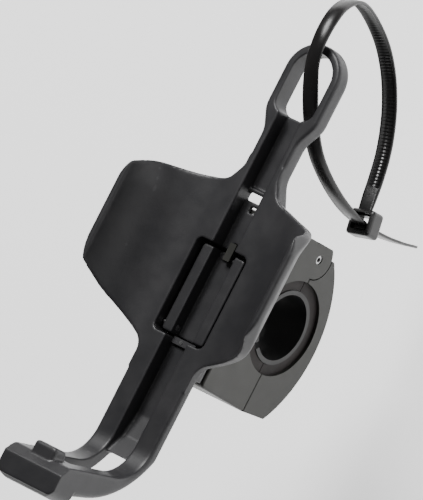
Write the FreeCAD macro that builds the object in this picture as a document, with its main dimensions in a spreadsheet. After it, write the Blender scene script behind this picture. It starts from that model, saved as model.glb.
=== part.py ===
"""Handlebar mount: a hinged bar clamp that carries a moulded cradle for a handheld device.

Frame: the origin is the centre of the handlebar bore. +X runs along the handlebar, +Y along the
cradle from its hook to its eye, and +Z out of the cradle's front face. Sizes are in millimetres.
"""
import FreeCAD, Part
import math
import os
import re
import Sketcher

SIZES = {
    # handlebar clamp
    "bar_radius": 11.1,
    "sleeve_wall": 1.5,
    "sleeve_play": 0.08,
    "sleeve_half": 11.2,
    "sleeve_slot": 2.4,
    "slot_angle": 132.0,
    "liner_wall": 3.5,
    "liner_recess": 1.2,
    "clamp_half": 12.0,
    "split_half": 0.15,
    "foot_reach": 29.5,
    "belly_radius": 40.0,
    "belly_depth": 21.2,
    "belly_shift": 3.4,
    "knuckle_radius": 6.5,
    "knuckle_flat": 4.9,
    "knuckle_half": 5.7,
    "knuckle_gap": 0.4,
    "hinge_wall": 1.62,
    "hinge_pin_radius": 1.5,
    "hinge_pin_bore": 0.8,
    "hinge_play": 0.05,
    # clamp screw, washer and nut
    "screw_reach": 22.2,
    "screw_radius": 2.5,
    "core_radius": 2.05,
    "screw_hole": 2.8,
    "screw_head": 4.25,
    "head_height": 5.0,
    "head_socket": 2.3,
    "washer_radius": 4.9,
    "washer_thick": 1.0,
    "washer_seat": 7.0,
    "head_bore": 5.2,
    "screw_tip": 6.0,
    "nut_flats": 8.0,
    "nut_height": 4.0,
    "nut_base": 1.4,
    # cradle
    "cradle_height": 33.0,
    "spine_depth": 7.2,
    "seat_gap": 0.1,
    "channel_half": 4.65,
    "channel_depth": 6.0,
    "lower_half": 12.3,
    "slant_high": 4.4,
    "slant_wide": 3.4,
    "neck_half": 7.3,
    "eye_half": 10.9,
    "eye_hole": 8.0,
    "eye_top": 85.0,
    "eye_floor": 60.0,
    "neck_end": 57.0,
    "edge_round": 1.2,
    "keel_round": 2.8,
    "wing_flat": 11.8,
    "wing_bend": 24.2,
    "wing_thick": 3.0,
    "wing_half": 37.2,
    "wing_rise": 17.0,
    "wing_top": 27.7,
    "wing_bottom": 11.8,
    "hook_bend": 44.0,
    "hook_start": 60.0,
    "channel_ramp": 4.2,
    "outer_bend": 33.5,
    "outer_lean": 13.0,
    "inner_start": 54.0,
    "inner_bend": 12.6,
    "inner_lean": 9.3,
    "hook_rise": 37.8,
    "lip_reach": 82.0,
    "lip_ridge": 73.9,
    "lip_slope": 2.8,
    "lip_tall": 10.0,
    "lip_corner": 5.5,
    "tab_reach": 66.6,
    "tab_half": 4.65,
    "tab_drop": 2.0,
    "tab_tall": 6.4,
    # latch tongue
    "pocket_half": 10.6,
    "pocket_low": 18.7,
    "pocket_high": 13.7,
    "tongue_half": 8.8,
    "tongue_low": 17.7,
    "tongue_high": 12.6,
    "tongue_drop": 2.0,
    "tongue_depth": 8.5,
    "tongue_floor": 1.5,
    "pivot_reach": 15.4,
    "pivot_drop": 4.8,
    "pivot_radius": 1.0,
    "pivot_play": 0.05,
    "relief_depth": 4.1,
    "spring_radius": 1.8,
    "spring_wire": 0.25,
    "spring_side": 6.2,
    "spring_place": 8.0,
    "spring_seat": 2.2,
    # slide rail
    "rail_low": 14.6,
    "rail_high": 28.4,
    "rail_half": 9.6,
    "rail_thick": 2.0,
    "lug_first": 18.2,
    "lug_pitch": 6.8,
    "lug_long": 3.2,
    "lug_neck_in": 7.2,
    "lug_neck_out": 8.8,
    "lug_head_in": 6.0,
    "lug_head_out": 10.0,
    "lug_step": 1.9,
    "lug_head_thick": 1.8,
    "slide_play": 0.2,
    "post_half": 1.3,
    # cable tie
    "strap_half": 2.5,
    "strap_thick": 1.2,
    "tie_head_half": 4.6,
    "tie_head_long": 8.6,
    "tie_head_thick": 6.4,
    "tie_head_low": 36.9,
    "tie_head_drop": 50.8,
    "tie_eye": 71.3,
    "tie_turn": 12.2,
}

WORD = re.compile(r"[a-z]+(?:_[a-z]+)+")

doc = FreeCAD.newDocument("HandlebarMount")
sheet = doc.addObject("Spreadsheet::Sheet", "Sizes")
for row, (alias, value) in enumerate(SIZES.items(), start=1):
    sheet.set("A%d" % row, alias)
    sheet.set("B%d" % row, str(value))
    sheet.setAlias("B%d" % row, alias)
doc.recompute()


def size(alias):
    """A size as the sheet holds it now."""
    return float(sheet.get(alias))


def bind(thing, prop, formula):
    """Tie a property to a formula over the sheet's aliases."""
    thing.setExpression(prop, WORD.sub(lambda found: "Sizes." + found.group(), str(formula)))


# formulas that several pieces share
BORE_OUT = "(bar_radius + sleeve_wall)"
LINER_IN = "(bar_radius + sleeve_wall + sleeve_play)"
LINER_OUT = "(bar_radius + sleeve_wall + sleeve_play + liner_wall)"
HINGE_Y = "(bar_radius + sleeve_wall + sleeve_play + liner_wall + hinge_wall + knuckle_radius)"
KEEL = "(cradle_height - spine_depth)"
JAW_TOP = "(cradle_height - spine_depth - seat_gap)"
RELIEF = "(cradle_height - spine_depth - seat_gap - relief_depth)"
FLOOR = "(cradle_height - channel_depth)"


def box(name, low, high):
    """A block between two corners, each coordinate a formula."""
    block = doc.addObject("Part::Box", name)
    for prop, start, end in zip(("Length", "Width", "Height"), low, high):
        bind(block, prop, "(%s) - (%s)" % (end, start))
    for axis, start in zip("xyz", low):
        bind(block, "Placement.Base." + axis, start)
    return block


def rod(name, axis, radius, start, end, first, second):
    """A cylinder along X or Z; first and second are its other two coordinates in order."""
    cylinder = doc.addObject("Part::Cylinder", name)
    turn = {"x": (FreeCAD.Vector(0, 1, 0), 90), "z": (FreeCAD.Vector(0, 0, 1), 0)}[axis]
    cylinder.Placement = FreeCAD.Placement(FreeCAD.Vector(), FreeCAD.Rotation(*turn))
    bind(cylinder, "Radius", radius)
    bind(cylinder, "Height", "(%s) - (%s)" % (end, start))
    places = {"x": (start, first, second), "z": (first, second, start)}[axis]
    for letter, place in zip("xyz", places):
        bind(cylinder, "Placement.Base." + letter, place)
    return cylinder


def fuse(name, pieces):
    joined = doc.addObject("Part::MultiFuse", name)
    joined.Shapes = pieces
    joined.Refine = False
    return joined


def common(name, pieces):
    shared = doc.addObject("Part::MultiCommon", name)
    shared.Shapes = pieces
    return shared


def cut(name, base, tools):
    """The base without the tools."""
    tool = tools[0] if len(tools) == 1 else fuse(name + "_tools", tools)
    result = doc.addObject("Part::Cut", name)
    result.Base = base
    result.Tool = tool
    return result


def both_sides(name, low, high):
    """Two blocks, mirrored in X, between the positive side's corners."""
    mirrored_low = ["-(%s)" % high[0], low[1], low[2]]
    mirrored_high = ["-(%s)" % low[0], high[1], high[2]]
    return [box(name + "_right", low, high), box(name + "_left", mirrored_low, mirrored_high)]


def fillet(name, base, radius, wanted):
    """Round the edges of base that wanted(edge) picks."""
    doc.recompute()
    rounded = doc.addObject("Part::Fillet", name)
    rounded.Base = base
    rounded.Edges = [
        (number, radius, radius) for number, edge in enumerate(base.Shape.Edges, start=1) if wanted(edge)
    ]
    return rounded


def origin_plane(body, role):
    return next(feature for feature in body.Origin.OriginFeatures if feature.Role == role)


def prism(name, role, corners, start, length, rounds=None):
    """A body padded from an outline; corners are pairs of formulas, rounds maps a corner to a radius."""
    body = doc.addObject("PartDesign::Body", name)
    sketch = body.newObject("Sketcher::SketchObject", name + "_outline")
    sketch.AttachmentSupport = (origin_plane(body, role), [""])
    sketch.MapMode = "FlatFace"
    bind(sketch, "AttachmentOffset.Base.z", start)
    count = len(corners)
    ring = [
        FreeCAD.Vector(20 * math.cos(2 * math.pi * i / count), 20 * math.sin(2 * math.pi * i / count), 0)
        for i in range(count)
    ]
    for i in range(count):
        sketch.addGeometry(Part.LineSegment(ring[i], ring[(i + 1) % count]), False)
    for i in range(count):
        sketch.addConstraint(Sketcher.Constraint("Coincident", i, 2, (i + 1) % count, 1))
    for i, (across, along) in enumerate(corners):
        for kind, start_value, formula in (("DistanceX", ring[i].x, across), ("DistanceY", ring[i].y, along)):
            number = sketch.addConstraint(Sketcher.Constraint(kind, -1, 1, i, 1, start_value))
            bind(sketch, "Constraints[%d]" % number, formula)
    pad = body.newObject("PartDesign::Pad", name + "_pad")
    pad.Profile = sketch
    bind(pad, "Length", length)
    doc.recompute()
    tip = pad
    for corner, radius in (rounds or {}).items():
        place = sketch.Placement.multVec(sketch.Geometry[corner].StartPoint)
        normal = sketch.Placement.Rotation.multVec(FreeCAD.Vector(0, 0, 1))
        edge = next(
            number
            for number, edge in enumerate(tip.Shape.Edges, start=1)
            if len(edge.Vertexes) == 2
            and all(((v.Point - place).cross(normal)).Length < 1e-4 for v in edge.Vertexes)
        )
        smooth = body.newObject("PartDesign::Fillet", "%s_round_%d" % (name, corner))
        smooth.Base = (tip, ["Edge%d" % edge])
        bind(smooth, "Radius", radius)
        body.Tip = smooth
        doc.recompute()
        tip = smooth
    return body


def span(edge, axis):
    """The lowest and highest value of an edge along an axis."""
    bound = edge.BoundBox
    return {"x": (bound.XMin, bound.XMax), "y": (bound.YMin, bound.YMax), "z": (bound.ZMin, bound.ZMax)}[axis]


def lies_at(axis, place):
    """A test for edges that lie whole at one coordinate."""
    return lambda edge: max(abs(end - place) for end in span(edge, axis)) < 1e-4


def mirrored(right):
    """A closed outline, symmetric in X, from the points of its right half in order."""
    return right + [("-(%s)" % across, along) for across, along in reversed(right)]


def cradle_plate():
    """Wings and the flat plate between them: a bent sheet trimmed to the plan outline."""
    bend_z = "(cradle_height + wing_bend)"
    sheets = []
    for side, angle in (("right", 0), ("left", 180)):
        shells = []
        for which, radius in (("outer", "wing_bend + wing_thick"), ("inner", "wing_bend")):
            shell = doc.addObject("Part::Cylinder", "wing_%s_%s" % (side, which))
            shell.Placement = FreeCAD.Placement(
                FreeCAD.Vector(0, 60, 0), FreeCAD.Rotation(FreeCAD.Vector(1, 0, 0), 90)
            )
            bind(shell, "Radius", radius)
            bind(shell, "Height", 120)
            bind(shell, "Placement.Base.x", "wing_flat" if side == "right" else "-wing_flat")
            bind(shell, "Placement.Base.z", bend_z)
            shells.append(shell)
        bent = cut("wing_%s_shell" % side, shells[0], [shells[1]])
        low = ["wing_flat", -60, "cradle_height - wing_thick - 1"]
        high = ["wing_half", 60, "cradle_height + wing_rise"]
        if side == "left":
            low[0], high[0] = "-wing_half", "-wing_flat"
        sheets.append(common("wing_%s_sheet" % side, [bent, box("wing_%s_zone" % side, low, high)]))
    flat = box(
        "plate_flat",
        ["-wing_flat - 0.01", -60, "cradle_height - wing_thick"],
        ["wing_flat + 0.01", 60, "cradle_height"],
    )
    section = fuse("plate_section", sheets + [flat])
    outline = mirrored(
        [
            ("lower_half - 0.05", -33),
            ("lower_half - 0.05", -24.1),
            ("wing_half", "-wing_bottom"),
            ("wing_half", "wing_top"),
            ("neck_half - 0.05", 34.4),
            ("neck_half - 0.05", 44),
        ]
    )
    rounds = {1: 6, 2: 17, 3: 11, 4: 8, 7: 8, 8: 11, 9: 17, 10: 6}
    plan = prism("plate_plan", "XY_Plane", outline, "cradle_height - wing_thick - 1", "wing_rise + 5", rounds)
    return common("plate_sheet", [section, plan])


def spine():
    """Lower spine, keel, neck and eye: one deep bar with rounded edges."""
    right = [
        ("lower_half", "-hook_bend"),
        ("lower_half", 31.5),
        ("neck_half", 40.5),
        ("neck_half", "neck_end - 4"),
        ("eye_half", "neck_end + 3"),
        ("eye_half", "eye_top"),
    ]
    rounds = {1: 6, 2: 8, 3: 8, 4: 8, 5: 10.8, 6: 10.8, 7: 8, 8: 8, 9: 8, 10: 6}
    bar = prism("spine_bar", "XY_Plane", mirrored(right), KEEL, "spine_depth", rounds)
    underside = fillet(
        "spine_keel",
        bar,
        size("keel_round"),
        lambda edge: lies_at("z", size("cradle_height") - size("spine_depth"))(edge)
        and not lies_at("y", -size("hook_bend"))(edge),
    )
    return fillet(
        "spine_rounded",
        underside,
        size("edge_round"),
        lambda edge: lies_at("z", size("cradle_height"))(edge) and not lies_at("y", -size("hook_bend"))(edge),
    )


def hook_solid():
    """The two arms' side profile, bent up from the spine, as one solid before its window is cut."""
    front = size("cradle_height")
    half = size("lower_half")
    rise = size("hook_rise")
    lean = math.radians(size("outer_lean"))
    inner_lean = math.radians(size("inner_lean"))
    under = front - size("spine_depth")
    outer_bend = size("outer_bend")
    inner_bend = size("inner_bend")
    start_y = -size("hook_bend")
    inner_y = -size("inner_start")

    def bend(first_y, first_z, radius, turn):
        """Mid and end points of an arc that leaves along -Y and turns up."""
        return [
            FreeCAD.Vector(0, first_y - radius * math.sin(a), first_z + radius * (1 - math.cos(a)))
            for a in (turn / 2, turn)
        ]

    outer_mid, outer_end = bend(start_y, under, outer_bend, math.pi / 2 - lean)
    inner_mid, inner_end = bend(inner_y, front, inner_bend, math.pi / 2 - inner_lean)
    outer_top = FreeCAD.Vector(0, outer_end.y - (front + rise - outer_end.z) * math.tan(lean), front + rise)
    slope_low = front + rise - size("lip_slope")
    inner_top = FreeCAD.Vector(0, inner_end.y - (slope_low - inner_end.z) * math.tan(inner_lean), slope_low)
    ridge = FreeCAD.Vector(0, -size("lip_ridge"), front + rise)
    tail_low = FreeCAD.Vector(0, start_y + 0.5, under)
    tail_high = FreeCAD.Vector(0, start_y + 0.5, front)
    first_outer = FreeCAD.Vector(0, start_y, under)
    first_inner = FreeCAD.Vector(0, inner_y, front)
    wire = Part.Wire(
        [
            Part.LineSegment(tail_low, first_outer).toShape(),
            Part.Arc(first_outer, outer_mid, outer_end).toShape(),
            Part.LineSegment(outer_end, outer_top).toShape(),
            Part.LineSegment(outer_top, ridge).toShape(),
            Part.LineSegment(ridge, inner_top).toShape(),
            Part.LineSegment(inner_top, inner_end).toShape(),
            Part.Arc(inner_end, inner_mid, first_inner).toShape(),
            Part.LineSegment(first_inner, tail_high).toShape(),
            Part.LineSegment(tail_high, tail_low).toShape(),
        ]
    )
    face = Part.Face(wire)
    face.translate(FreeCAD.Vector(-half + 0.05, 0, 0))
    arms = doc.addObject("Part::Feature", "hook_arms")
    arms.Shape = face.extrude(FreeCAD.Vector(2 * half - 0.1, 0, 0))
    return arms


def on_sides(half):
    """A test for edges that lie in one of the two end planes across X."""
    return lambda edge: lies_at("x", half)(edge) or lies_at("x", -half)(edge)


def is_back(edge):
    """The hook's outer curve and the line above it."""
    middle = edge.valueAt((edge.FirstParameter + edge.LastParameter) / 2)
    return edge.Length > 30 or (edge.Length > 9 and middle.y < -size("lip_ridge"))


def is_front(edge):
    """The hook's inner curve."""
    turn = math.radians(90 - size("inner_lean"))
    return abs(edge.Length - size("inner_bend") * turn) < 1


def hook():
    """Arms with rounded edges and the lip bar with its tab."""
    half = size("lower_half") - 0.05
    back = fillet("hook_back", hook_solid(), size("keel_round"), lambda edge: on_sides(half)(edge) and is_back(edge))
    arms = fillet("hook_front", back, size("edge_round"), lambda edge: on_sides(half)(edge) and is_front(edge))
    bar = box(
        "lip_block",
        ["-lower_half + 0.05", "-lip_reach", "cradle_height + hook_rise - lip_tall"],
        ["lower_half - 0.05", "-lip_ridge", "cradle_height + hook_rise"],
    )
    lip = fillet("lip_rounded", bar, 2.6, lambda edge: edge.BoundBox.YMax < -size("lip_ridge") - 0.01)
    corners = prism(
        "lip_plan",
        "XY_Plane",
        [
            ("-lower_half - 0.5", "-lip_reach - 0.1"),
            ("lower_half + 0.5", "-lip_reach - 0.1"),
            ("lower_half + 0.5", "-hook_bend + 5"),
            ("-lower_half - 0.5", "-hook_bend + 5"),
        ],
        "cradle_height - spine_depth - 5",
        "hook_rise + spine_depth + 10",
        {0: size("lip_corner"), 1: size("lip_corner")},
    )
    tab = box(
        "tab_block",
        ["-tab_half", "-lip_ridge - 1", "cradle_height + hook_rise - tab_drop - tab_tall"],
        ["tab_half", "-tab_reach", "cradle_height + hook_rise - tab_drop"],
    )
    tab_top = fillet("tab_rounded", tab, 1.2, lambda edge: edge.BoundBox.YMax > -size("tab_reach") - 0.01)
    return fuse("hook", [common("hook_trimmed", [fuse("hook_blank", [arms, lip]), corners]), tab_top])


def cradle_cuts():
    """Everything that is cut out of the cradle's solid."""
    top = "cradle_height + 1"
    cuts = [
        box("channel", ["-channel_half", "-hook_bend - 1", FLOOR], ["channel_half", "eye_floor + 0.5", top]),
        prism(
            "channel_end",
            "YZ_Plane",
            [
                ("-hook_start - 0.5", "cradle_height + 0.3"),
                ("-inner_start + 1", "cradle_height - channel_ramp"),
                ("-hook_bend - 1", FLOOR),
                ("-hook_bend - 1", top),
                ("-hook_start - 0.5", "cradle_height + 8"),
            ],
            "-channel_half",
            "2 * channel_half",
        ),
        box("floor_window", ["-channel_half", 30.7, "cradle_height - 12"], ["channel_half", 33.4, top]),
        box("upper_hole", [-1.7, 27.0, "cradle_height - 12"], [1.7, 29.2, top]),
        box("post_hole", ["-post_half - 0.2", 13, "cradle_height - 12"], ["post_half + 0.2", 16.4, top]),
        prism(
            "pocket",
            "XY_Plane",
            [
                ("-pocket_half", "-pocket_low"),
                ("pocket_half", "-pocket_low"),
                ("pocket_half", "pocket_high"),
                ("-pocket_half", "pocket_high"),
            ],
            "cradle_height - 12",
            20,
            {0: 2, 1: 2, 2: 2, 3: 2},
        ),
        prism(
            "eye_opening",
            "XY_Plane",
            [("-eye_hole", "eye_floor"), ("eye_hole", "eye_floor"), ("eye_hole", 82), ("-eye_hole", 82)],
            "cradle_height - 12",
            20,
            {0: 4, 1: 4, 2: 7.9, 3: 7.9},
        ),
        box(
            "hook_window",
            ["-channel_half - 0.1", -100, "cradle_height - 12"],
            ["channel_half + 0.1", "-hook_start", "cradle_height + hook_rise - 11.5"],
        ),
        rod("pivot_holes", "x", "pivot_radius", "-pocket_half - 1.2", "pocket_half + 1.2", "-pivot_reach",
            "cradle_height - pivot_drop"),
    ]
    for number in range(2):
        begin = "(lug_first + lug_pitch * %d)" % number
        entry = "(%s - lug_long - 3 * slide_play)" % begin
        end = "(%s + lug_long + slide_play)" % begin
        ledge = "(%s + lug_step - slide_play)" % JAW_TOP
        roof = "(%s + lug_step + lug_head_thick + slide_play)" % JAW_TOP
        cuts += both_sides(
            "lug_slot_%d" % number,
            ["lug_head_in - slide_play", entry, ledge],
            ["lug_head_out + slide_play", end, roof],
        )
        cuts += both_sides(
            "neck_slot_%d" % number,
            ["lug_neck_in - slide_play", entry, "%s - 1" % KEEL],
            ["lug_neck_out + slide_play", end, "%s + 0.1" % ledge],
        )
        cuts += both_sides(
            "lug_entry_%d" % number,
            ["lug_head_in - slide_play", entry, "%s - 1" % KEEL],
            ["lug_head_out + slide_play", "%s - slide_play" % begin, "%s + 0.1" % ledge],
        )
    return cuts


def keel_slants():
    """Wedges that slim the lower arm's keel towards its bottom."""
    wedges = []
    rise = size("slant_high") * 1.0
    run = size("slant_wide") * 1.0
    length = math.hypot(run, rise)
    for side, sign in (("right", 1), ("left", -1)):
        wedge = doc.addObject("Part::Box", "keel_slant_" + side)
        wedge.Length, wedge.Width, wedge.Height = 3 * length, 35, 8
        turn = -math.degrees(math.atan2(rise, sign * run))
        up_slope = FreeCAD.Vector(sign * run / length, 0, rise / length)
        outward = FreeCAD.Vector(sign * rise / length, 0, -run / length)
        corner = FreeCAD.Vector(
            sign * (size("lower_half") - run), -size("hook_start") - 3, size("cradle_height") - size("spine_depth")
        )
        base = corner - up_slope * length + (outward * 8 if sign > 0 else FreeCAD.Vector())
        wedge.Placement = FreeCAD.Placement(base, FreeCAD.Rotation(FreeCAD.Vector(0, 1, 0), turn))
        wedges.append(wedge)
    return wedges


def cradle():
    """The device cradle, one moulding."""
    crossbar = box("crossbar", ["-channel_half - 0.2", 33.4, "%s - 0.2" % FLOOR],
                   ["channel_half + 0.2", 34.8, "cradle_height - 4.8"])
    bar, plate, foot = spine(), cradle_plate(), hook()
    doc.recompute()
    solid = doc.addObject("Part::Feature", "cradle_solid")
    solid.Shape = bar.Shape.fuse(foot.Shape).fuse(plate.Shape)
    hollow = cut("cradle_hollow", solid, cradle_cuts() + keel_slants())
    return fuse("cradle", [hollow, crossbar])


def latch_tongue():
    """Sprung tongue with the channel running through it and a tooth near its free end."""
    top = "cradle_height - tongue_drop"
    bottom = "cradle_height - tongue_depth"
    floor = "(cradle_height - tongue_depth + tongue_floor)"
    blank = prism(
        "tongue_blank",
        "XY_Plane",
        [
            ("-tongue_half", "-tongue_low"),
            ("tongue_half", "-tongue_low"),
            ("tongue_half", "tongue_high"),
            ("-tongue_half", "tongue_high"),
        ],
        bottom,
        "tongue_depth - tongue_drop",
        {0: 1, 1: 1, 2: 1, 3: 1},
    )
    soft = fillet("tongue_soft", blank, 0.5, lies_at("z", size("cradle_height") - size("tongue_drop")))
    groove = box("tongue_groove", ["-channel_half", "-tongue_low - 1", floor],
                 ["channel_half", "tongue_high + 1", "%s + 1" % top])
    bore = rod("tongue_bore", "x", "pivot_radius + pivot_play", "-tongue_half - 1", "tongue_half + 1",
               "-pivot_reach", "cradle_height - pivot_drop")
    tooth = box("tongue_tooth", [-3, "tongue_high - 2.2", "%s - 0.2" % floor],
                [3, "tongue_high - 1", "%s + 1.2" % floor])
    return fuse("latch_tongue", [cut("tongue_open", soft, [groove, bore]), tooth])


def latch_pivot_pins():
    """Two short pins, one in each side block of the tongue."""
    pins = []
    for side, start, end in (
        ("right", "channel_half + 0.4", "pocket_half + 1.2"),
        ("left", "-pocket_half - 1.2", "-channel_half - 0.4"),
    ):
        pins.append(rod("pivot_pin_" + side, "x", "pivot_radius", start, end, "-pivot_reach",
                        "cradle_height - pivot_drop"))
    group = doc.addObject("Part::Compound", "latch_pivot_pins")
    group.Links = pins
    return group


def latch_springs():
    """Two coil springs between the upper jaw and the tongue."""
    base = size("cradle_height") - size("spine_depth") - size("seat_gap") - size("relief_depth") - 2.2
    top = size("cradle_height") - size("tongue_depth")
    wire = size("spring_wire")
    turns = 5
    rise = top - base - 2 * wire
    coils = []
    for side in (-1, 1):
        helix = Part.makeHelix(rise / turns, rise, size("spring_radius"))
        ring = Part.Wire(
            Part.makeCircle(wire, FreeCAD.Vector(size("spring_radius"), 0, 0), FreeCAD.Vector(0, 1, 0))
        )
        coil = Part.Wire(helix.Edges).makePipeShell([ring], True, True)
        coil.translate(FreeCAD.Vector(side * size("spring_side"), size("spring_place"), base + wire))
        coils.append(coil)
    group = doc.addObject("Part::Feature", "latch_springs")
    group.Shape = Part.makeCompound(coils)
    return group


def channel_block():
    low = "(-pocket_low - 1.6)"
    block = box("block_blank", ["-channel_half", low, FLOOR],
                ["channel_half", "-tongue_low - 0.4", "cradle_height - 4.7"])
    hole = rod("block_hole", "z", 0.6, FLOOR, "cradle_height - 4", -1, "%s + 1.1" % low)
    return cut("channel_block", block, [hole])


def block_pin():
    low = "(-pocket_low - 1.6)"
    pin = rod("pin_outer", "z", 0.6, FLOOR, "cradle_height - 4.5", -1, "%s + 1.1" % low)
    hollow = rod("pin_hollow", "z", 0.3, "%s + 0.4" % FLOOR, "cradle_height - 4", -1, "%s + 1.1" % low)
    return cut("block_pin", pin, [hollow])


def slide_rail():
    """Lug plate on the clamp, with the catch post that the tongue's tooth locks against."""
    low_z = "(%s - rail_thick)" % JAW_TOP
    step_z = "(%s + lug_step)" % JAW_TOP
    pieces = [box("rail_plate", ["-rail_half", "rail_low", low_z], ["rail_half", "rail_high", JAW_TOP])]
    for number in range(2):
        begin = "(lug_first + lug_pitch * %d)" % number
        end = "(%s + lug_long)" % begin
        pieces += both_sides("lug_neck_%d" % number, ["lug_neck_in", begin, "%s - 0.1" % JAW_TOP],
                             ["lug_neck_out", end, "%s + 0.1" % step_z])
        pieces += both_sides("lug_head_%d" % number, ["lug_head_in", begin, step_z],
                             ["lug_head_out", end, "%s + lug_head_thick" % step_z])
    floor = "(cradle_height - tongue_depth + tongue_floor)"
    pieces.append(box("post", ["-post_half", "rail_low", "%s - 0.1" % JAW_TOP],
                      ["post_half", "rail_low + 1.6", "%s + 2.6" % floor]))
    pieces.append(box("post_lip", ["-post_half", "tongue_high - 2.4", "%s + 1.4" % floor],
                      ["post_half", "rail_low + 0.1", "%s + 2.6" % floor]))
    pieces.append(box("post_tooth", ["-post_half", "tongue_high - 0.7", "%s + 0.4" % floor],
                      ["post_half", "tongue_high + 0.5", "%s + 1.5" % floor]))
    holes = []
    for number, place in enumerate((19.5, 25.5)):
        holes.append(rod("rail_hole_%d" % number, "z", 1.3, "%s - 1" % low_z, "%s + 1" % JAW_TOP, 0, place))
        holes.append(rod("rail_sink_%d" % number, "z", 2.3, "%s - 1.1" % JAW_TOP, "%s + 1" % JAW_TOP, 0, place))
    return cut("slide_rail", fuse("rail_solid", pieces), holes)


def rail_screws():
    """Two self-tapping screws with flat heads."""
    screws = []
    for number, place in enumerate((19.5, 25.5)):
        shank = rod("rail_shank_%d" % number, "z", 1.2, "%s - 8" % JAW_TOP, "%s - 1" % JAW_TOP, 0, place)
        head = rod("rail_head_%d" % number, "z", 2.2, "%s - 1.1" % JAW_TOP, "%s - 0.1" % JAW_TOP, 0, place)
        slot = box("rail_slot_%d" % number, [-2.5, place - 0.3, "%s - 0.6" % JAW_TOP],
                   [2.5, place + 0.3, "%s + 1" % JAW_TOP])
        screws.append(cut("rail_screw_%d" % number, fuse("rail_body_%d" % number, [shank, head]), [slot]))
    group = doc.addObject("Part::Compound", "rail_screws")
    group.Links = screws
    return group


def nut_prism(name, start, length, flats):
    """A hexagonal prism about the clamp screw's axis."""
    hexagon = doc.addObject("Part::Prism", name)
    hexagon.Polygon = 6
    bind(hexagon, "Circumradius", "(%s) / sqrt(3)" % flats)
    bind(hexagon, "Height", length)
    bind(hexagon, "Placement.Base.y", "-screw_reach")
    bind(hexagon, "Placement.Base.z", start)
    return hexagon


def upper_jaw():
    """Fixed half of the clamp."""
    block = prism(
        "upper_block",
        "YZ_Plane",
        [
            ("-foot_reach", "split_half"),
            ("-foot_reach + 0.5", JAW_TOP),
            ("%s + knuckle_flat - 0.4" % HINGE_Y, JAW_TOP),
            ("%s + knuckle_flat" % HINGE_Y, 7),
            ("%s + knuckle_flat" % HINGE_Y, "split_half"),
        ],
        "-clamp_half",
        "2 * clamp_half",
        {1: 2, 2: 3},
    )
    lugs = rod("hinge_lugs", "x", "knuckle_radius", "-clamp_half", "clamp_half", HINGE_Y, 0)
    soft = fillet("upper_soft", block, 0.8, lambda edge: on_sides(size("clamp_half"))(edge) and edge.BoundBox.ZLength > 1)
    solid = fuse("upper_solid", [soft, lugs])
    cuts = [
        rod("upper_seat", "x", LINER_OUT, "-clamp_half - 1", "clamp_half + 1", 0, 0),
        box("upper_end", ["-clamp_half - 1", "%s + knuckle_flat" % HINGE_Y, -20],
            ["clamp_half + 1", "%s + 20" % HINGE_Y, "cradle_height"]),
        rod("knuckle_space", "x", "knuckle_radius + knuckle_gap", "-knuckle_half - 0.3", "knuckle_half + 0.3",
            HINGE_Y, 0),
        rod("upper_pin_hole", "x", "hinge_pin_radius", "-clamp_half - 1", "clamp_half + 1", HINGE_Y, 0),
        box("tongue_relief", [-9.3, "-tongue_low - 0.8", RELIEF], [9.3, "tongue_high + 0.7", "cradle_height"]),
        box("rail_recess", ["-rail_half", "rail_low", "%s - rail_thick" % JAW_TOP],
            ["rail_half", "rail_high", "cradle_height"]),
        nut_prism("nut_space", "-1", "nut_base + nut_height + 1", "nut_flats"),
        rod("screw_end_space", "z", 3, 0, "nut_base + nut_height + 4", 0, "-screw_reach"),
    ]
    for number, place in enumerate((19.5, 25.5)):
        cuts.append(rod("pilot_%d" % number, "z", 1.2, "%s - 8" % JAW_TOP, JAW_TOP, 0, place))
    for side, sign in (("right", ""), ("left", "-")):
        cuts.append(rod("spring_well_" + side, "z", "spring_seat", "%s - 2.2" % RELIEF, "%s + 1" % RELIEF,
                        sign + "spring_side", "spring_place"))
    return cut("upper_jaw", solid, cuts)


def lower_jaw():
    """Hinged half of the clamp."""
    centre_z = "(belly_radius - belly_depth)"
    belly = rod("belly", "x", "belly_radius", "-clamp_half", "clamp_half", "-belly_shift", centre_z)
    block = prism(
        "lower_block",
        "YZ_Plane",
        [
            ("-foot_reach", "-split_half"),
            ("-foot_reach + 1.1", "-14"),
            ("-foot_reach + 1.1", "-belly_depth - 1"),
            ("%s + 1.7" % HINGE_Y, "-belly_depth - 1"),
            ("%s + 1.7" % HINGE_Y, "-split_half"),
        ],
        "-clamp_half",
        "2 * clamp_half",
    )
    shell = fillet("lower_soft", common("lower_solid", [belly, block]), 0.5, on_sides(size("clamp_half")))
    seam = [
        rod("lug_space_right", "x", "knuckle_radius + knuckle_gap", "knuckle_half", "clamp_half + 1", HINGE_Y, 0),
        rod("lug_space_left", "x", "knuckle_radius + knuckle_gap", "-clamp_half - 1", "-knuckle_half", HINGE_Y, 0),
    ]
    knuckle = rod("knuckle", "x", "knuckle_radius", "-knuckle_half", "knuckle_half", HINGE_Y, 0)
    solid = fuse("lower_joined", [cut("lower_seam", shell, seam), knuckle])
    cuts = [
        rod("lower_seat", "x", LINER_OUT, "-clamp_half - 1", "clamp_half + 1", 0, 0),
        box("lower_end", ["-clamp_half - 1", "%s + knuckle_flat" % HINGE_Y, -20],
            ["clamp_half + 1", "%s + 20" % HINGE_Y, "cradle_height"]),
        rod("lower_pin_hole", "x", "hinge_pin_radius + hinge_play", "-clamp_half", "clamp_half", HINGE_Y, 0),
        rod("screw_way", "z", "screw_hole", "-belly_depth - 5", 1, 0, "-screw_reach"),
        rod("head_recess", "z", "head_bore", "-belly_depth - 5", "-washer_seat", 0, "-screw_reach"),
    ]
    return cut("lower_jaw", solid, cuts)


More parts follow.
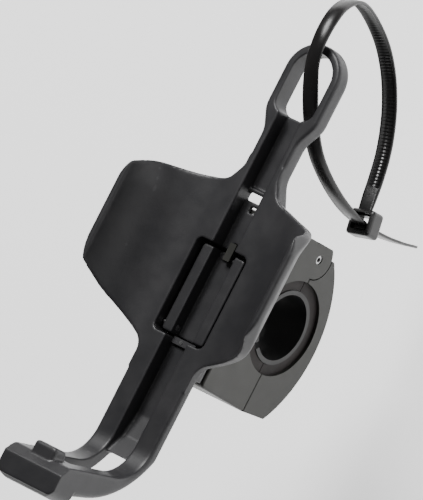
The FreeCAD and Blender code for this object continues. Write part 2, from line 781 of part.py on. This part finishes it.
def half_ring(name, upper):
    """Rubber half ring between a jaw and the sleeve."""
    half = "clamp_half - liner_recess"
    outer = rod(name + "_outer", "x", LINER_OUT, "-(%s)" % half, half, 0, 0)
    inner = rod(name + "_inner", "x", LINER_IN, -20, 20, 0, 0)
    low, high = ("split_half", 30) if upper else (-30, "-split_half")
    return common(name, [cut(name + "_ring", outer, [inner]), box(name + "_zone", [-20, -30, low], [20, 30, high])])


def inner_sleeve():
    """Split reducing sleeve, open at a slot on the cradle's side."""
    outer = rod("sleeve_outer", "x", BORE_OUT, "-sleeve_half", "sleeve_half", 0, 0)
    inner = rod("sleeve_bore", "x", "bar_radius", -20, 20, 0, 0)
    slot = doc.addObject("Part::Box", "sleeve_slot_block")
    slot.Placement = FreeCAD.Placement(FreeCAD.Vector(-20, 0, 0), FreeCAD.Rotation(FreeCAD.Vector(1, 0, 0), 10))
    bind(slot, "Length", 40)
    bind(slot, "Width", 20)
    bind(slot, "Height", "sleeve_slot")
    bind(slot, "Placement.Rotation.Angle", "slot_angle")
    return cut("inner_sleeve", outer, [inner, slot])


def hinge_pin():
    outer = rod("pin_body", "x", "hinge_pin_radius", "-clamp_half + 0.3", "clamp_half - 0.3", HINGE_Y, 0)
    bore = rod("pin_bore", "x", "hinge_pin_bore", "-clamp_half", "clamp_half", HINGE_Y, 0)
    return cut("hinge_pin", outer, [bore])


def clamp_screw():
    """Socket-head screw, its thread drawn at the core radius."""
    place = ("0", "-screw_reach")
    head_top = "(-washer_seat - washer_thick)"
    head = rod("screw_head_blank", "z", "screw_head", "%s - head_height" % head_top, head_top, *place)
    shank = rod("screw_shank", "z", "screw_radius", "%s - 0.2" % head_top, "-split_half - 0.4", *place)
    core = rod("screw_core", "z", "core_radius", "-1", "screw_tip - 1.2", *place)
    tip = doc.addObject("Part::Cone", "screw_point")
    bind(tip, "Radius1", "core_radius")
    bind(tip, "Radius2", "core_radius - 0.9")
    bind(tip, "Height", 1.2)
    bind(tip, "Placement.Base.y", "-screw_reach")
    bind(tip, "Placement.Base.z", "screw_tip - 1.2")
    socket = nut_prism("screw_socket", "%s - head_height - 1" % head_top, 3.5, "2 * head_socket")
    return cut("clamp_screw", fuse("screw_solid", [head, shank, core, tip]), [socket])


def screw_washer():
    disc = rod("washer_disc", "z", "washer_radius", "-washer_seat - washer_thick", "-washer_seat", 0, "-screw_reach")
    hole = rod("washer_hole", "z", "screw_radius + 0.1", -20, 0, 0, "-screw_reach")
    return cut("screw_washer", disc, [hole])


def clamp_nut():
    body = nut_prism("nut_blank", "nut_base", "nut_height", "nut_flats")
    bore = rod("nut_bore", "z", "screw_radius", -5, 20, 0, "-screw_reach")
    return cut("clamp_nut", body, [bore])


# the strap's route in the YZ plane through the eye, from its root on the head round to its tail
STRAP_ROUTE = [
    (44.2, -52.0), (50.2, -52.4), (56.0, -52.8), (64.0, -52.6), (72.3, -50.8), (80.4, -47.4), (88.4, -42.0),
    (95.2, -34.7), (100.1, -26.0), (102.6, -16.2), (101.9, -8.2), (97.2, -0.8), (90.4, 3.0), (83.0, 3.8),
    (76.5, 1.6), (67.5, -4.2), (59.6, -10.2), (52.8, -17.0), (47.2, -27.0), (42.9, -39.0), (40.8, -51.0),
    (40.4, -62.5), (41.3, -74.0), (43.1, -85.4),
]


def strap_wire():
    """Straight runs joined by tangent arcs."""
    front = size("cradle_height")
    points = [FreeCAD.Vector(0, along, front + up) for along, up in STRAP_ROUTE]
    edges = []
    last = points[0]
    for before, here, after in zip(points, points[1:], points[2:]):
        into = (here - before).normalize()
        out = (after - here).normalize()
        turn = into.getAngle(out)
        reach = 0.45 * min((here - before).Length, (after - here).Length)
        bow = reach / math.tan((math.pi - turn) / 2) if turn > 1e-6 else 0
        start = here - into * reach
        end = here + out * reach
        radius = reach / math.tan(turn / 2)
        towards = (out - into).normalize()
        middle = here + towards * (radius / math.cos(turn / 2) - radius)
        edges.append(Part.LineSegment(last, start).toShape())
        edges.append(Part.Arc(start, middle, end).toShape())
        last = end
    edges.append(Part.LineSegment(last, points[-1]).toShape())
    return Part.Wire(edges)


def cable_tie():
    """Nylon tie: strap and head in one moulding."""
    wire = strap_wire()
    half = size("strap_half")
    thick = size("strap_thick")
    start = wire.Vertexes[0].Point
    route = [FreeCAD.Vector(0, along, size("cradle_height") + up) for along, up in STRAP_ROUTE]
    along = (route[1] - route[0]).normalize()
    across = FreeCAD.Vector(1, 0, 0)
    normal = along.cross(across)
    corners = [
        start + across * (half * sx) + normal * (thick / 2 * sn) for sx, sn in ((1, 1), (-1, 1), (-1, -1), (1, -1))
    ]
    profile = Part.makePolygon(corners + corners[:1])
    strap = wire.makePipeShell([profile], True, False)
    head_half = size("tie_head_half")
    head_low = FreeCAD.Vector(
        -head_half, size("tie_head_low"), size("cradle_height") - size("tie_head_drop") - size("tie_head_thick")
    )
    head = Part.makeBox(2 * head_half, size("tie_head_long"), size("tie_head_thick"), head_low)
    head = head.makeFillet(1.0, head.Edges)
    tie = doc.addObject("Part::Feature", "cable_tie")
    tie.Shape = strap.fuse(head).removeSplitter()
    tie.Placement = FreeCAD.Placement(
        FreeCAD.Vector(),
        FreeCAD.Rotation(FreeCAD.Vector(0, 0, 1), size("tie_turn")),
        FreeCAD.Vector(0, size("tie_eye"), 0),
    )
    return tie


NODES = [
    cradle(),
    latch_tongue(),
    latch_pivot_pins(),
    latch_springs(),
    channel_block(),
    block_pin(),
    slide_rail(),
    rail_screws(),
    upper_jaw(),
    lower_jaw(),
    hinge_pin(),
    half_ring("upper_liner", True),
    half_ring("lower_liner", False),
    inner_sleeve(),
    clamp_screw(),
    screw_washer(),
    clamp_nut(),
    cable_tie(),
]
doc.recompute()

for item in doc.Objects:
    if "Invalid" in item.State or "Error" in item.State:
        raise RuntimeError("%s failed: %s" % (item.Name, item.State))
for node in NODES:
    node.Label = node.Name
    if node.Shape.isNull() or not node.Shape.isValid():
        raise RuntimeError("%s has no valid shape" % node.Name)

os.makedirs("parts", exist_ok=True)
for node in NODES:
    node.Shape.exportStep("parts/%s.step" % node.Label)
    print(node.Label, len(node.Shape.Solids), round(node.Shape.Volume, 1))
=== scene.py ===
"""Looks of the handlebar mount: moulded shells, the cable tie, materials, studio and camera."""
import bmesh
import bpy
import math
from mathutils import Matrix, Vector


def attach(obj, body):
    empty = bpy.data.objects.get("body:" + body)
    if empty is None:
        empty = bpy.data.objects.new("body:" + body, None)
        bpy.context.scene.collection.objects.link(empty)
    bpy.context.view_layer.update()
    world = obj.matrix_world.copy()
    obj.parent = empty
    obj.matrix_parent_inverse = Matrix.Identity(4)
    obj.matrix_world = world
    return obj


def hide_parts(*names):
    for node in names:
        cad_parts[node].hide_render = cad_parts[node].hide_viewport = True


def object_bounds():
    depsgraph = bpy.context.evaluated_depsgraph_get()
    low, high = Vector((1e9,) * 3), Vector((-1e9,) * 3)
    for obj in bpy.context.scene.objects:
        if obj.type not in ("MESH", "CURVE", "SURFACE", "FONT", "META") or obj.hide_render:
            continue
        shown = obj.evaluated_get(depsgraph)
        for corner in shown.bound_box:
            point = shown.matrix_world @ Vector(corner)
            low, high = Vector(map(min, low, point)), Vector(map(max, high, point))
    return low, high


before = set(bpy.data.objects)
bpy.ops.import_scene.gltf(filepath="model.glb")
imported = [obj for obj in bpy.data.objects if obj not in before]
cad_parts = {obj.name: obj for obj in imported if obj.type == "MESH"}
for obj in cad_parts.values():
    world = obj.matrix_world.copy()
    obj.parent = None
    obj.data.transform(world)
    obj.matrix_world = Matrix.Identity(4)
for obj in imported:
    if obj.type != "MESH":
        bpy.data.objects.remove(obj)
CAD_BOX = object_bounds()
MM = 0.001


# ---------------------------------------------------------------- materials

def new_material(name):
    """A material with its principled shader, ready for nodes."""
    material = bpy.data.materials.new(name)
    material.use_nodes = True
    tree = material.node_tree
    return material, tree.nodes, tree.links, tree.nodes["Principled BSDF"]


def noise(nodes, links, scale, detail=3.0, rough=0.55):
    """A noise texture over the object's own coordinates, scale per metre."""
    where = nodes.new("ShaderNodeTexCoord")
    texture = nodes.new("ShaderNodeTexNoise")
    texture.inputs["Scale"].default_value = scale
    texture.inputs["Detail"].default_value = detail
    texture.inputs["Roughness"].default_value = rough
    links.new(where.outputs["Object"], texture.inputs["Vector"])
    return texture


def spread(nodes, links, source, low, high, start=0.3, end=0.7):
    """Map a texture's middle range to low..high."""
    mapping = nodes.new("ShaderNodeMapRange")
    mapping.inputs["From Min"].default_value = start
    mapping.inputs["From Max"].default_value = end
    mapping.inputs["To Min"].default_value = low
    mapping.inputs["To Max"].default_value = high
    links.new(source, mapping.inputs["Value"])
    return mapping.outputs["Result"]


def blend_colour(nodes, links, factor, dark, light):
    """Mix two colours by a factor."""
    mix = nodes.new("ShaderNodeMix")
    mix.data_type = "RGBA"
    mix.inputs["A"].default_value = (*dark, 1)
    mix.inputs["B"].default_value = (*light, 1)
    links.new(factor, mix.inputs["Factor"])
    return mix.outputs["Result"]


def edge_wear(nodes, links, start, end):
    """Where the surface is convex: 0 on faces, 1 on worn edges."""
    geometry = nodes.new("ShaderNodeNewGeometry")
    return spread(nodes, links, geometry.outputs["Pointiness"], 0.0, 1.0, start, end)


def moulded(name, dark, light, rough, grain_scale, grain_height, wear=0.35, specular=0.5):
    """Moulded plastic: fine grain, soft mottling, and lighter polished edges."""
    material, nodes, links, shader = new_material(name)
    mottle = noise(nodes, links, 90, 4)
    base = blend_colour(nodes, links, spread(nodes, links, mottle.outputs["Fac"], 0, 1), dark, light)
    worn = edge_wear(nodes, links, 0.51, 0.60)
    weaken = nodes.new("ShaderNodeMath")
    weaken.operation = "MULTIPLY"
    weaken.inputs[1].default_value = wear
    links.new(worn, weaken.inputs[0])
    mix = nodes.new("ShaderNodeMix")
    mix.data_type = "RGBA"
    mix.inputs["B"].default_value = (*[min(1, c * 2.2) for c in light], 1)
    links.new(base, mix.inputs["A"])
    links.new(weaken.outputs["Value"], mix.inputs["Factor"])
    links.new(mix.outputs["Result"], shader.inputs["Base Color"])
    patch = noise(nodes, links, 160, 3)
    links.new(spread(nodes, links, patch.outputs["Fac"], rough[0], rough[1]), shader.inputs["Roughness"])
    shader.inputs["Specular IOR Level"].default_value = specular
    grain = noise(nodes, links, grain_scale, 5, 0.6)
    bump = nodes.new("ShaderNodeBump")
    bump.inputs["Strength"].default_value = 0.55
    bump.inputs["Distance"].default_value = grain_height
    links.new(grain.outputs["Fac"], bump.inputs["Height"])
    links.new(bump.outputs["Normal"], shader.inputs["Normal"])
    return material


def metal(name, dark, light, rough):
    """Plain steel with fine scratches and tarnish."""
    material, nodes, links, shader = new_material(name)
    tarnish = noise(nodes, links, 400, 4)
    links.new(
        blend_colour(nodes, links, spread(nodes, links, tarnish.outputs["Fac"], 0, 1), dark, light),
        shader.inputs["Base Color"],
    )
    links.new(spread(nodes, links, tarnish.outputs["Fac"], rough[0], rough[1]), shader.inputs["Roughness"])
    shader.inputs["Metallic"].default_value = 1.0
    scratch = noise(nodes, links, 2500, 2)
    bump = nodes.new("ShaderNodeBump")
    bump.inputs["Strength"].default_value = 0.3
    bump.inputs["Distance"].default_value = 0.00002
    links.new(scratch.outputs["Fac"], bump.inputs["Height"])
    links.new(bump.outputs["Normal"], shader.inputs["Normal"])
    return material


def floor_material():
    """Pale, slightly glowing floor."""
    material, nodes, links, shader = new_material("pale_floor")
    cloud = noise(nodes, links, 3, 2)
    tone = spread(nodes, links, cloud.outputs["Fac"], 0, 1)
    pale = blend_colour(nodes, links, tone, (0.93, 0.93, 0.93), (0.96, 0.96, 0.96))
    links.new(pale, shader.inputs["Base Color"])
    shader.inputs["Roughness"].default_value = 0.75
    shader.inputs["Specular IOR Level"].default_value = 0.15
    shader.inputs["Emission Color"].default_value = (1, 1, 1, 1)
    shader.inputs["Emission Strength"].default_value = 1.0
    return material


CRADLE = moulded(
    "cradle_plastic", (0.020, 0.020, 0.022), (0.030, 0.029, 0.031), (0.36, 0.46), 2600, 0.00006
)
CLAMP = moulded(
    "clamp_plastic", (0.013, 0.013, 0.011), (0.017, 0.017, 0.014), (0.42, 0.5), 3200, 0.00003, 0.25
)
RUBBER = moulded(
    "liner_rubber", (0.012, 0.010, 0.010), (0.020, 0.016, 0.015), (0.62, 0.75), 1800, 0.00006, 0.1, 0.35
)
SLEEVE = moulded(
    "sleeve_plastic", (0.006, 0.006, 0.006), (0.010, 0.010, 0.010), (0.4, 0.5), 2600, 0.00003, 0.2
)
NYLON = moulded(
    "tie_nylon", (0.009, 0.009, 0.009), (0.014, 0.013, 0.013), (0.24, 0.34), 900, 0.00003, 0.2, 0.5
)
STEEL = metal("steel", (0.42, 0.42, 0.42), (0.62, 0.62, 0.62), (0.25, 0.42))
BLACK_STEEL = metal("black_steel", (0.03, 0.03, 0.03), (0.07, 0.07, 0.07), (0.35, 0.5))

FINISH = {
    "cradle": CRADLE,
    "latch_tongue": CRADLE,
    "latch_pivot_pins": STEEL,
    "latch_springs": STEEL,
    "channel_block": CRADLE,
    "block_pin": STEEL,
    "slide_rail": CLAMP,
    "rail_screws": STEEL,
    "upper_jaw": CLAMP,
    "lower_jaw": CLAMP,
    "hinge_pin": STEEL,
    "upper_liner": RUBBER,
    "lower_liner": RUBBER,
    "inner_sleeve": SLEEVE,
    "clamp_screw": BLACK_STEEL,
    "screw_washer": STEEL,
    "clamp_nut": STEEL,
    "cable_tie": NYLON,
}


def give(thing, material):
    """Make this the object's only material."""
    thing.data.materials.clear()
    thing.data.materials.append(material)


for node_name, finish in FINISH.items():
    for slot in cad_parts[node_name].material_slots:
        slot.link = "OBJECT"
        slot.material = finish


# ---------------------------------------------------------------- shells

def softened(node, body, voxel, rounds, shape=None):
    """The CAD node as a cradle plastic moulding with every edge rounded."""
    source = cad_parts[node]
    piece = bpy.data.objects.new(node + "_moulding", source.data.copy())
    bpy.context.scene.collection.objects.link(piece)
    remesh = piece.modifiers.new("remesh", "REMESH")
    remesh.mode = "VOXEL"
    remesh.voxel_size = voxel
    remesh.adaptivity = 0.0
    smooth = piece.modifiers.new("smooth", "SMOOTH")
    smooth.factor = 0.5
    smooth.iterations = rounds
    depsgraph = bpy.context.evaluated_depsgraph_get()
    mesh = bpy.data.meshes.new_from_object(piece.evaluated_get(depsgraph))
    piece.modifiers.clear()
    piece.data = mesh
    if shape:
        shape(piece)
    piece.data.shade_smooth()
    give(piece, CRADLE)
    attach(piece, body)
    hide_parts(node)


def ease(value, start, end):
    """0 before start, 1 after end, smooth between."""
    t = min(1.0, max(0.0, (value - start) / (end - start)))
    return t * t * (3 - 2 * t)


FLARE = 1.6
RIM_ROUNDS = 26


def shape_cradle(piece):
    """Rounder wing rims, and the flare at the wings' upper corners."""
    wings = piece.vertex_groups.new(name="wings")
    for vertex in piece.data.vertices:
        place = vertex.co / MM
        weight = ease(abs(place.x), 14.0, 20.0)
        if weight > 0:
            wings.add([vertex.index], weight, "REPLACE")
        corner = ease(place.y, 20.0, 30.0) * ease(abs(place.x), 20.0, 30.0)
        flare = FLARE * corner * (1 - ease(place.z, 42.0, 50.0))
        vertex.co.x += math.copysign(flare * MM, place.x)
    smooth = piece.modifiers.new("rims", "SMOOTH")
    smooth.vertex_group = "wings"
    smooth.factor = 0.5
    smooth.iterations = RIM_ROUNDS
    depsgraph = bpy.context.evaluated_depsgraph_get()
    mesh = bpy.data.meshes.new_from_object(piece.evaluated_get(depsgraph))
    piece.modifiers.clear()
    piece.vertex_groups.clear()
    piece.data = mesh


softened("cradle", "mount", 0.35 * MM, 5, shape_cradle)
softened("latch_tongue", "tongue", 0.3 * MM, 3)


# ---------------------------------------------------------------- cable tie

# In millimetres. ROUTE gives places along the spine and above its front face, as in the CAD. The CAD
# strap lies in one plane; LEAN moves these points of it sideways, so this strap differs from the CAD one.
FRONT = 33.0
ROUTE = [
    (44.2, -52.0), (50.2, -52.4), (56.0, -52.8), (64.0, -52.6), (72.3, -50.8), (80.4, -47.4), (88.4, -42.0),
    (95.2, -34.7), (100.1, -26.0), (102.6, -16.2), (101.9, -8.2), (97.2, -0.8), (90.4, 3.0), (83.0, 3.8),
    (76.5, 1.6), (67.5, -4.2), (59.6, -10.2), (52.8, -17.0), (47.2, -27.0), (42.9, -39.0), (40.8, -51.0),
    (40.4, -62.5), (41.3, -74.0), (43.1, -85.4),
]
LEAN_START = 9
LEAN = [1.0, 2.2, 3.2, 3.3, 2.6, 1.4, 0.4]
CURVE_STEPS = 24
PIVOT = Vector((0, 71.3, 0)) * MM
LOOP_TURN = (
    Matrix.Translation(PIVOT) @ Matrix.Rotation(math.radians(12.2), 4, "Z") @ Matrix.Translation(-PIVOT)
)
TOOTH_PITCH = 1.15
STEPS_PER_TOOTH = 6
TEETH_START = 9
TEETH_END = 116
TAPER = 12
THIN_TAIL = 34
STRAP_HALF = 2.6
STRAP_THICK = 1.2
SQUARE_AT_HEAD = Vector((0, 41.2, FRONT - 54.0))
SQUARE_AT_EYE = Vector((0, 81.0, FRONT + 2.0))
TWIST_SIDE = Vector((0.821, 0.087, -0.564))
TWIST = 0.96

HEAD_HALF = 4.6
HEAD_START = 36.9
HEAD_LONG = 8.6
HEAD_TOP = FRONT - 50.8
HEAD_BASE = HEAD_TOP - 6.4


def between(a, b, c, d, t):
    """Point on the smooth curve through b and c, with a and d as the neighbours."""
    straight = 2 * b + (c - a) * t
    bend = (2 * a - 5 * b + 4 * c - d) * t * t
    return 0.5 * (straight + bend + (3 * b - a - 3 * c + d) * t ** 3)


def smooth_route(step):
    """Evenly spaced points along the strap, in millimetres."""
    lean = [0.0] * len(ROUTE)
    lean[LEAN_START:LEAN_START + len(LEAN)] = LEAN
    knots = [Vector((x, along, FRONT + up)) for x, (along, up) in zip(lean, ROUTE)]
    knots = [2 * knots[0] - knots[1], *knots, 2 * knots[-1] - knots[-2]]
    line = []
    for a, b, c, d in zip(knots, knots[1:], knots[2:], knots[3:]):
        line += [between(a, b, c, d, k / CURVE_STEPS) for k in range(CURVE_STEPS)]
    line.append(knots[-2])
    points, carry = [line[0]], 0.0
    for first, second in zip(line, line[1:]):
        length = (second - first).length
        place = step - carry
        while place <= length:
            points.append(first.lerp(second, place / length))
            place += step
        carry = (carry + length) % step
    return points


def across_strap(point, ahead):
    """Direction across the strap: square at the head and the eye, twisted in between."""
    from_head = (point - SQUARE_AT_HEAD).length / 8 - 0.6
    from_eye = (point - SQUARE_AT_EYE).length / 9 - 0.5
    free = min(1.0, max(0.0, from_head), max(0.0, from_eye))
    lean = TWIST_SIDE - ahead * TWIST_SIDE.dot(ahead)
    return (Vector((1, 0, 0)) + lean * TWIST * free).normalized()


def section(half, thick, well):
    """Outline of the strap: half width, half thickness and depth of the well between the rails."""
    rail = 0.72 * half
    return [
        (-half, 0.35 * thick), (-half + 0.3, thick), (half - 0.3, thick), (half, 0.35 * thick),
        (half, -0.45 * thick), (half - 0.25, -thick), (rail, -thick), (rail - 0.08, -thick + well),
        (-rail + 0.08, -thick + well), (-rail, -thick), (-half + 0.25, -thick), (-half, -0.45 * thick),
    ]


def strap():
    """Toothed strap: smooth outside, a ladder of teeth between two rails on the inside."""
    step = TOOTH_PITCH / STEPS_PER_TOOTH
    points = smooth_route(step)
    count = len(points)
    mesh = bpy.data.meshes.new("tie_strap")
    build = bmesh.new()
    rings = []
    tooth_start, tooth_end = int(TEETH_START / step), int(TEETH_END / step)
    for i, point in enumerate(points):
        ahead = (points[min(i + 1, count - 1)] - points[max(i - 1, 0)]).normalized()
        across_way = across_strap(point, ahead)
        outward = ahead.cross(across_way)
        left = (count - 1 - i) * step
        half = STRAP_HALF * (0.35 + 0.65 * (left / TAPER) ** 0.5 if left < TAPER else 1.0)
        thick = STRAP_THICK / 2 * (1.0 if left > THIN_TAIL else 0.72)
        well = 0.0
        if tooth_start < i < tooth_end:
            well = 0.22 + 0.30 * ((i % STEPS_PER_TOOTH) / (STEPS_PER_TOOTH - 1))
        rings.append([
            build.verts.new((point + across_way * across + outward * out) * MM)
            for across, out in section(half, thick, well)
        ])
    for first, second in zip(rings, rings[1:]):
        for k in range(len(first)):
            after = (k + 1) % len(first)
            build.faces.new((first[k], first[after], second[after], second[k]))
    build.faces.new(list(reversed(rings[0])))
    build.faces.new(rings[-1])
    bmesh.ops.recalc_face_normals(build, faces=build.faces)
    build.to_mesh(mesh)
    build.free()
    piece = bpy.data.objects.new("tie_strap", mesh)
    bpy.context.scene.collection.objects.link(piece)
    return piece


def block(name, low, high, bevel, segments=3):
    """A bevelled block between two corners, in millimetres."""
    mesh = bpy.data.meshes.new(name)
    build = bmesh.new()
    bmesh.ops.create_cube(build, size=1.0)
    centre = (Vector(low) + Vector(high)) / 2
    extent = Vector(high) - Vector(low)
    for vertex in build.verts:
        vertex.co = Vector([centre[k] + vertex.co[k] * extent[k] for k in range(3)]) * MM
    if bevel:
        bmesh.ops.bevel(
            build, geom=list(build.edges), offset=bevel * MM, segments=segments, profile=0.5, affect="EDGES"
        )
    build.to_mesh(mesh)
    build.free()
    piece = bpy.data.objects.new(name, mesh)
    bpy.context.scene.collection.objects.link(piece)
    return piece


def carve(piece, tools):
    """Boolean differences, applied, with the tools removed."""
    for tool in tools:
        modifier = piece.modifiers.new("carve", "BOOLEAN")
        modifier.operation = "DIFFERENCE"
        modifier.object = tool
        modifier.solver = "EXACT"
    depsgraph = bpy.context.evaluated_depsgraph_get()
    mesh = bpy.data.meshes.new_from_object(piece.evaluated_get(depsgraph))
    piece.modifiers.clear()
    piece.data = mesh
    for tool in tools:
        bpy.data.objects.remove(tool)


def tie_head():
    """Head with its through slot and the recess above the pawl."""
    head_low = (-HEAD_HALF, HEAD_START, HEAD_BASE)
    head_high = (HEAD_HALF, HEAD_START + HEAD_LONG, HEAD_TOP)
    head = block("tie_head", head_low, head_high, 1.1)
    slot = block(
        "slot_tool", (-2.95, HEAD_START + 4.0, HEAD_BASE - 2), (2.95, HEAD_START + 6.8, HEAD_TOP + 2), 0
    )
    mouth = block(
        "mouth_tool", (-3.1, HEAD_START + 1.7, HEAD_TOP - 2.2), (3.1, HEAD_START + 7.3, HEAD_TOP + 2), 0
    )
    carve(head, [slot, mouth])
    pawl = block(
        "tie_pawl", (-2.0, HEAD_START + 2.1, HEAD_BASE + 1.8), (2.0, HEAD_START + 4.1, HEAD_TOP - 1.2), 0.3
    )
    return [head, pawl]


tie = strap()
for piece in [tie, *tie_head()]:
    if piece is tie:
        piece.data.shade_smooth()
    else:
        piece.data.shade_flat()
    piece.data.transform(LOOP_TURN)
    give(piece, NYLON)
    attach(piece, "tie")
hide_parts("cable_tie")


# ---------------------------------------------------------------- studio and camera

FLOOR_HALF = 6.0
FLOOR_GAP = 0.02


def studio():
    """Floor below the object, and a dim even world."""
    level = CAD_BOX[0][2] - FLOOR_GAP
    mesh = bpy.data.meshes.new("floor")
    corners = [(-1, -1), (1, -1), (1, 1), (-1, 1)]
    mesh.from_pydata([(x * FLOOR_HALF, y * FLOOR_HALF, level) for x, y in corners], [], [(0, 1, 2, 3)])
    floor = bpy.data.objects.new("floor", mesh)
    bpy.context.scene.collection.objects.link(floor)
    give(floor, floor_material())
    world = bpy.data.worlds.new("studio")
    world.use_nodes = True
    world.node_tree.nodes["Background"].inputs["Color"].default_value = (1, 1, 1, 1)
    world.node_tree.nodes["Background"].inputs["Strength"].default_value = 0.1
    bpy.context.scene.world = world


LOOK_AT = Vector((0, 11 * MM, 37.7 * MM))
BACK = Vector((0.59, -0.03, 0.807)).normalized()
ROLL = math.radians(27.0)
DISTANCE = 3.0
VIEW_HEIGHT = 0.1572
SENSOR = 36.0


def view_axes():
    """The camera's right, up and back in the row's frame."""
    up0 = Vector((0, 1, 0))
    right0 = up0.cross(BACK).normalized()
    up0 = BACK.cross(right0)
    right = right0 * math.cos(ROLL) + up0 * math.sin(ROLL)
    up = -right0 * math.sin(ROLL) + up0 * math.cos(ROLL)
    return right, up, BACK


def camera():
    """A long lens from the camera's place, rolled about its own axis."""
    right, up, back = view_axes()
    data = bpy.data.cameras.new("camera")
    data.sensor_width = SENSOR
    data.lens = SENSOR * DISTANCE / VIEW_HEIGHT
    data.clip_start = 0.01
    data.clip_end = 20
    eye = bpy.data.objects.new("camera", data)
    turn = Matrix((right, up, back)).transposed().to_4x4()
    eye.matrix_world = Matrix.Translation(LOOK_AT + back * DISTANCE) @ turn
    bpy.context.scene.collection.objects.link(eye)
    bpy.context.scene.camera = eye


def softbox(name, rightward, upward, towards, width, height, power):
    """An area light placed in the camera's own directions, aimed at the object."""
    right, up, back = view_axes()
    place = LOOK_AT + right * rightward + up * upward + back * towards
    data = bpy.data.lights.new(name, "AREA")
    data.shape = "RECTANGLE"
    data.size = width
    data.size_y = height
    data.energy = power
    lamp = bpy.data.objects.new(name, data)
    lamp.location = place
    lamp.rotation_euler = (place - LOOK_AT).to_track_quat("Z", "Y").to_euler()
    bpy.context.scene.collection.objects.link(lamp)


studio()
camera()
softbox("key", -0.35, 1.0, 0.55, 0.5, 0.5, 18)
softbox("fill", 0.6, 0.1, 0.8, 0.7, 0.7, 2.2)
softbox("rim", 0.75, 0.6, -0.1, 0.3, 0.7, 2.5)
